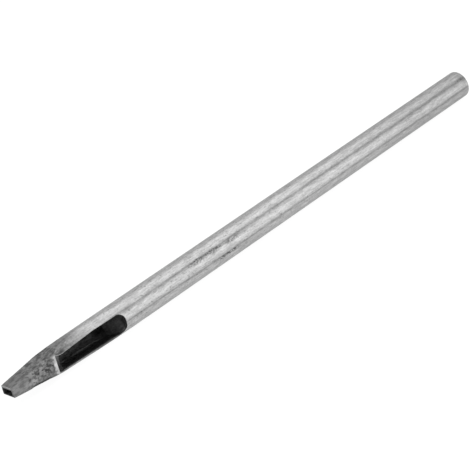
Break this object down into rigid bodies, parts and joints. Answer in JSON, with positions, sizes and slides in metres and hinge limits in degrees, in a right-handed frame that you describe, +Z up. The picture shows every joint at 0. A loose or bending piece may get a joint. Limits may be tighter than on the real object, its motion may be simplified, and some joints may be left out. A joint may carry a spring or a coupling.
{
  "type": "leather hole punch",
  "caption": "Steel drive punch for leather: round shank with a plain striking end, tapered hollow tip with a rectangular cutting mouth, and a side window that lets the slugs out.",
  "frame": {"origin": "on the resting surface, under the middle of the rod's length and width", "axes": "+X along the shank from the cutting mouth to the striking end, -Y out of the slug window, +Z up with the rod lying on its shank"},
  "size_m": [0.11, 0.005, 0.005],
  "materials": {
    "steel": "drawn satin steel, darker and pitted at the forged tip"
  },
  "bodies": {
    "root": {"punch_body": "steel"}
  },
  "joints": []
}
